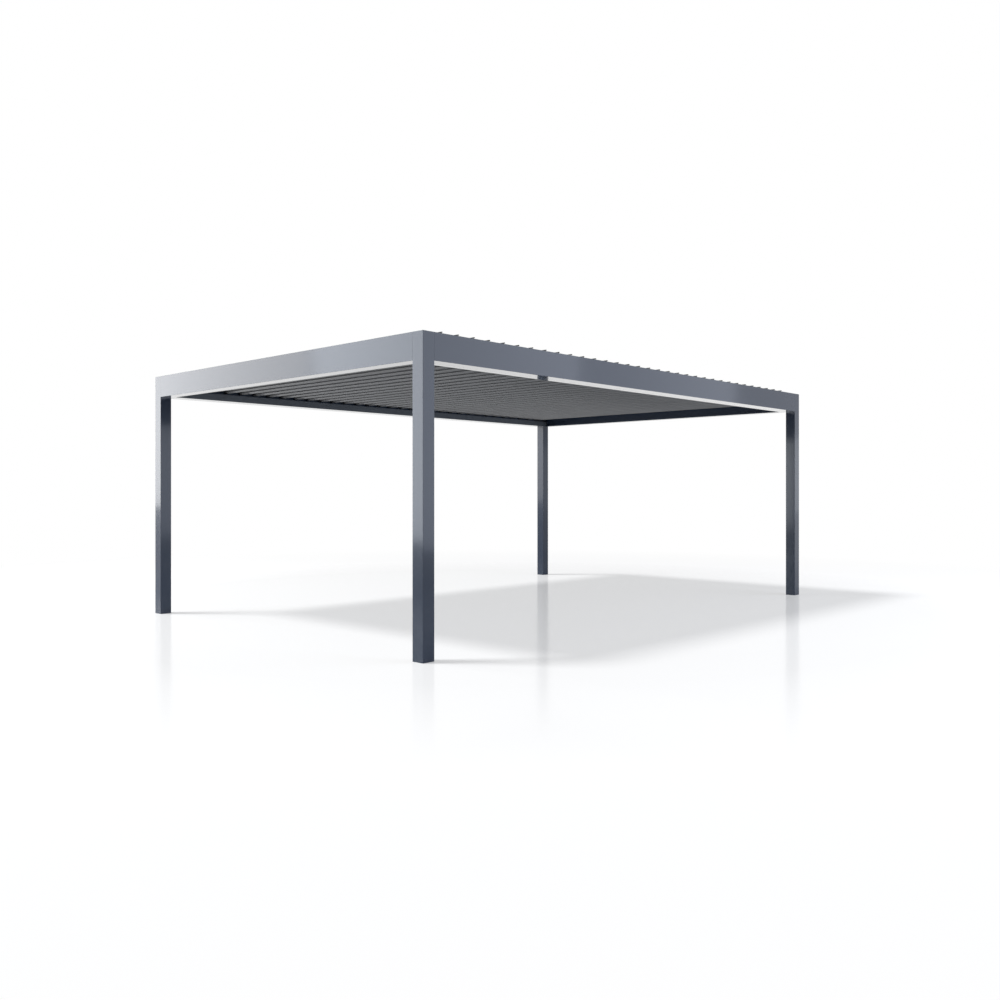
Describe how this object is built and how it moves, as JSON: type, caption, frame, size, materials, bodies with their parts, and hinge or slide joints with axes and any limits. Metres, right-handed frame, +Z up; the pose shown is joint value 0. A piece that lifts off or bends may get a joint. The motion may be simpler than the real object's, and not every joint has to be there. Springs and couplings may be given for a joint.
{
  "type": "louvered pergola",
  "caption": "Free-standing flat-roofed pergola: square posts, deep flush beams, inner gutters and a roof of turning louvers that open and close together.",
  "frame": {"origin": "on the ground at the middle of the footprint", "axes": "+X along the long side, +Y along the louvers, towards the back, +Z up"},
  "size_m": [7, 4.66, 2.8148],
  "materials": {
    "powder_coated_frame": "anthracite blue-grey powder coat, satin",
    "powder_coated_louver": "anthracite blue-grey powder coat, satin",
    "black_polyamide": "moulded, matte",
    "galvanised_steel": "hot-dip galvanised"
  },
  "bodies": {
    "frame": {"post_front_left": "powder_coated_frame", "post_front_right": "powder_coated_frame", "post_back_left": "powder_coated_frame", "post_back_right": "powder_coated_frame", "post_caps": "powder_coated_frame", "post_feet": "galvanised_steel", "front_beam": "powder_coated_frame", "back_beam": "powder_coated_frame", "left_beam": "powder_coated_frame", "right_beam": "powder_coated_frame", "front_gutter": "powder_coated_frame", "back_gutter": "powder_coated_frame", "front_pivot_rail": "black_polyamide", "back_pivot_rail": "black_polyamide", "left_closing_profile": "powder_coated_frame", "right_closing_profile": "powder_coated_frame"},
    "louver_01": {"louver_01": "powder_coated_louver"},
    "louver_02": {"louver_02": "powder_coated_louver"},
    "louver_03": {"louver_03": "powder_coated_louver"},
    "louver_04": {"louver_04": "powder_coated_louver"},
    "louver_05": {"louver_05": "powder_coated_louver"},
    "louver_06": {"louver_06": "powder_coated_louver"},
    "louver_07": {"louver_07": "powder_coated_louver"},
    "louver_08": {"louver_08": "powder_coated_louver"},
    "louver_09": {"louver_09": "powder_coated_louver"},
    "louver_10": {"louver_10": "powder_coated_louver"},
    "louver_11": {"louver_11": "powder_coated_louver"},
    "louver_12": {"louver_12": "powder_coated_louver"},
    "louver_13": {"louver_13": "powder_coated_louver"},
    "louver_14": {"louver_14": "powder_coated_louver"},
    "louver_15": {"louver_15": "powder_coated_louver"},
    "louver_16": {"louver_16": "powder_coated_louver"},
    "louver_17": {"louver_17": "powder_coated_louver"},
    "louver_18": {"louver_18": "powder_coated_louver"},
    "louver_19": {"louver_19": "powder_coated_louver"},
    "louver_20": {"louver_20": "powder_coated_louver"},
    "louver_21": {"louver_21": "powder_coated_louver"},
    "louver_22": {"louver_22": "powder_coated_louver"},
    "louver_23": {"louver_23": "powder_coated_louver"},
    "louver_24": {"louver_24": "powder_coated_louver"},
    "louver_25": {"louver_25": "powder_coated_louver"},
    "louver_26": {"louver_26": "powder_coated_louver"},
    "louver_27": {"louver_27": "powder_coated_louver"},
    "louver_28": {"louver_28": "powder_coated_louver"},
    "louver_29": {"louver_29": "powder_coated_louver"},
    "louver_30": {"louver_30": "powder_coated_louver"},
    "louver_31": {"louver_31": "powder_coated_louver"},
    "louver_32": {"louver_32": "powder_coated_louver"},
    "louver_33": {"louver_33": "powder_coated_louver"}
  },
  "joints": [
    {"name": "louver_01_turn", "type": "hinge", "parent": "frame", "child": "louver_01", "pos_m": [-3.218, 0, 2.718], "axis": [0, -1, 0], "range_deg": [-52, 83]},
    {"name": "louver_02_turn", "type": "hinge", "parent": "frame", "child": "louver_02", "pos_m": [-3.018, 0, 2.718], "axis": [0, -1, 0], "range_deg": [-52, 83]},
    {"name": "louver_03_turn", "type": "hinge", "parent": "frame", "child": "louver_03", "pos_m": [-2.818, 0, 2.718], "axis": [0, -1, 0], "range_deg": [-52, 83]},
    {"name": "louver_04_turn", "type": "hinge", "parent": "frame", "child": "louver_04", "pos_m": [-2.618, 0, 2.718], "axis": [0, -1, 0], "range_deg": [-52, 83]},
    {"name": "louver_05_turn", "type": "hinge", "parent": "frame", "child": "louver_05", "pos_m": [-2.418, 0, 2.718], "axis": [0, -1, 0], "range_deg": [-52, 83]},
    {"name": "louver_06_turn", "type": "hinge", "parent": "frame", "child": "louver_06", "pos_m": [-2.218, 0, 2.718], "axis": [0, -1, 0], "range_deg": [-52, 83]},
    {"name": "louver_07_turn", "type": "hinge", "parent": "frame", "child": "louver_07", "pos_m": [-2.018, 0, 2.718], "axis": [0, -1, 0], "range_deg": [-52, 83]},
    {"name": "louver_08_turn", "type": "hinge", "parent": "frame", "child": "louver_08", "pos_m": [-1.818, 0, 2.718], "axis": [0, -1, 0], "range_deg": [-52, 83]},
    {"name": "louver_09_turn", "type": "hinge", "parent": "frame", "child": "louver_09", "pos_m": [-1.618, 0, 2.718], "axis": [0, -1, 0], "range_deg": [-52, 83]},
    {"name": "louver_10_turn", "type": "hinge", "parent": "frame", "child": "louver_10", "pos_m": [-1.418, 0, 2.718], "axis": [0, -1, 0], "range_deg": [-52, 83]},
    {"name": "louver_11_turn", "type": "hinge", "parent": "frame", "child": "louver_11", "pos_m": [-1.218, 0, 2.718], "axis": [0, -1, 0], "range_deg": [-52, 83]},
    {"name": "louver_12_turn", "type": "hinge", "parent": "frame", "child": "louver_12", "pos_m": [-1.018, 0, 2.718], "axis": [0, -1, 0], "range_deg": [-52, 83]},
    {"name": "louver_13_turn", "type": "hinge", "parent": "frame", "child": "louver_13", "pos_m": [-0.818, 0, 2.718], "axis": [0, -1, 0], "range_deg": [-52, 83]},
    {"name": "louver_14_turn", "type": "hinge", "parent": "frame", "child": "louver_14", "pos_m": [-0.618, 0, 2.718], "axis": [0, -1, 0], "range_deg": [-52, 83]},
    {"name": "louver_15_turn", "type": "hinge", "parent": "frame", "child": "louver_15", "pos_m": [-0.418, 0, 2.718], "axis": [0, -1, 0], "range_deg": [-52, 83]},
    {"name": "louver_16_turn", "type": "hinge", "parent": "frame", "child": "louver_16", "pos_m": [-0.218, 0, 2.718], "axis": [0, -1, 0], "range_deg": [-52, 83]},
    {"name": "louver_17_turn", "type": "hinge", "parent": "frame", "child": "louver_17", "pos_m": [-0.018, 0, 2.718], "axis": [0, -1, 0], "range_deg": [-52, 83]},
    {"name": "louver_18_turn", "type": "hinge", "parent": "frame", "child": "louver_18", "pos_m": [0.182, 0, 2.718], "axis": [0, -1, 0], "range_deg": [-52, 83]},
    {"name": "louver_19_turn", "type": "hinge", "parent": "frame", "child": "louver_19", "pos_m": [0.382, 0, 2.718], "axis": [0, -1, 0], "range_deg": [-52, 83]},
    {"name": "louver_20_turn", "type": "hinge", "parent": "frame", "child": "louver_20", "pos_m": [0.582, 0, 2.718], "axis": [0, -1, 0], "range_deg": [-52, 83]},
    {"name": "louver_21_turn", "type": "hinge", "parent": "frame", "child": "louver_21", "pos_m": [0.782, 0, 2.718], "axis": [0, -1, 0], "range_deg": [-52, 83]},
    {"name": "louver_22_turn", "type": "hinge", "parent": "frame", "child": "louver_22", "pos_m": [0.982, 0, 2.718], "axis": [0, -1, 0], "range_deg": [-52, 83]},
    {"name": "louver_23_turn", "type": "hinge", "parent": "frame", "child": "louver_23", "pos_m": [1.182, 0, 2.718], "axis": [0, -1, 0], "range_deg": [-52, 83]},
    {"name": "louver_24_turn", "type": "hinge", "parent": "frame", "child": "louver_24", "pos_m": [1.382, 0, 2.718], "axis": [0, -1, 0], "range_deg": [-52, 83]},
    {"name": "louver_25_turn", "type": "hinge", "parent": "frame", "child": "louver_25", "pos_m": [1.582, 0, 2.718], "axis": [0, -1, 0], "range_deg": [-52, 83]},
    {"name": "louver_26_turn", "type": "hinge", "parent": "frame", "child": "louver_26", "pos_m": [1.782, 0, 2.718], "axis": [0, -1, 0], "range_deg": [-52, 83]},
    {"name": "louver_27_turn", "type": "hinge", "parent": "frame", "child": "louver_27", "pos_m": [1.982, 0, 2.718], "axis": [0, -1, 0], "range_deg": [-52, 83]},
    {"name": "louver_28_turn", "type": "hinge", "parent": "frame", "child": "louver_28", "pos_m": [2.182, 0, 2.718], "axis": [0, -1, 0], "range_deg": [-52, 83]},
    {"name": "louver_29_turn", "type": "hinge", "parent": "frame", "child": "louver_29", "pos_m": [2.382, 0, 2.718], "axis": [0, -1, 0], "range_deg": [-52, 83]},
    {"name": "louver_30_turn", "type": "hinge", "parent": "frame", "child": "louver_30", "pos_m": [2.582, 0, 2.718], "axis": [0, -1, 0], "range_deg": [-52, 83]},
    {"name": "louver_31_turn", "type": "hinge", "parent": "frame", "child": "louver_31", "pos_m": [2.782, 0, 2.718], "axis": [0, -1, 0], "range_deg": [-52, 83]},
    {"name": "louver_32_turn", "type": "hinge", "parent": "frame", "child": "louver_32", "pos_m": [2.982, 0, 2.718], "axis": [0, -1, 0], "range_deg": [-52, 83]},
    {"name": "louver_33_turn", "type": "hinge", "parent": "frame", "child": "louver_33", "pos_m": [3.182, 0, 2.718], "axis": [0, -1, 0], "range_deg": [-52, 83]}
  ],
  "couplings": [
    {"joint": "louver_02_turn", "follows": "louver_01_turn", "ratio": 1},
    {"joint": "louver_03_turn", "follows": "louver_01_turn", "ratio": 1},
    {"joint": "louver_04_turn", "follows": "louver_01_turn", "ratio": 1},
    {"joint": "louver_05_turn", "follows": "louver_01_turn", "ratio": 1},
    {"joint": "louver_06_turn", "follows": "louver_01_turn", "ratio": 1},
    {"joint": "louver_07_turn", "follows": "louver_01_turn", "ratio": 1},
    {"joint": "louver_08_turn", "follows": "louver_01_turn", "ratio": 1},
    {"joint": "louver_09_turn", "follows": "louver_01_turn", "ratio": 1},
    {"joint": "louver_10_turn", "follows": "louver_01_turn", "ratio": 1},
    {"joint": "louver_11_turn", "follows": "louver_01_turn", "ratio": 1},
    {"joint": "louver_12_turn", "follows": "louver_01_turn", "ratio": 1},
    {"joint": "louver_13_turn", "follows": "louver_01_turn", "ratio": 1},
    {"joint": "louver_14_turn", "follows": "louver_01_turn", "ratio": 1},
    {"joint": "louver_15_turn", "follows": "louver_01_turn", "ratio": 1},
    {"joint": "louver_16_turn", "follows": "louver_01_turn", "ratio": 1},
    {"joint": "louver_17_turn", "follows": "louver_01_turn", "ratio": 1},
    {"joint": "louver_18_turn", "follows": "louver_01_turn", "ratio": 1},
    {"joint": "louver_19_turn", "follows": "louver_01_turn", "ratio": 1},
    {"joint": "louver_20_turn", "follows": "louver_01_turn", "ratio": 1},
    {"joint": "louver_21_turn", "follows": "louver_01_turn", "ratio": 1},
    {"joint": "louver_22_turn", "follows": "louver_01_turn", "ratio": 1},
    {"joint": "louver_23_turn", "follows": "louver_01_turn", "ratio": 1},
    {"joint": "louver_24_turn", "follows": "louver_01_turn", "ratio": 1},
    {"joint": "louver_25_turn", "follows": "louver_01_turn", "ratio": 1},
    {"joint": "louver_26_turn", "follows": "louver_01_turn", "ratio": 1},
    {"joint": "louver_27_turn", "follows": "louver_01_turn", "ratio": 1},
    {"joint": "louver_28_turn", "follows": "louver_01_turn", "ratio": 1},
    {"joint": "louver_29_turn", "follows": "louver_01_turn", "ratio": 1},
    {"joint": "louver_30_turn", "follows": "louver_01_turn", "ratio": 1},
    {"joint": "louver_31_turn", "follows": "louver_01_turn", "ratio": 1},
    {"joint": "louver_32_turn", "follows": "louver_01_turn", "ratio": 1},
    {"joint": "louver_33_turn", "follows": "louver_01_turn", "ratio": 1}
  ]
}
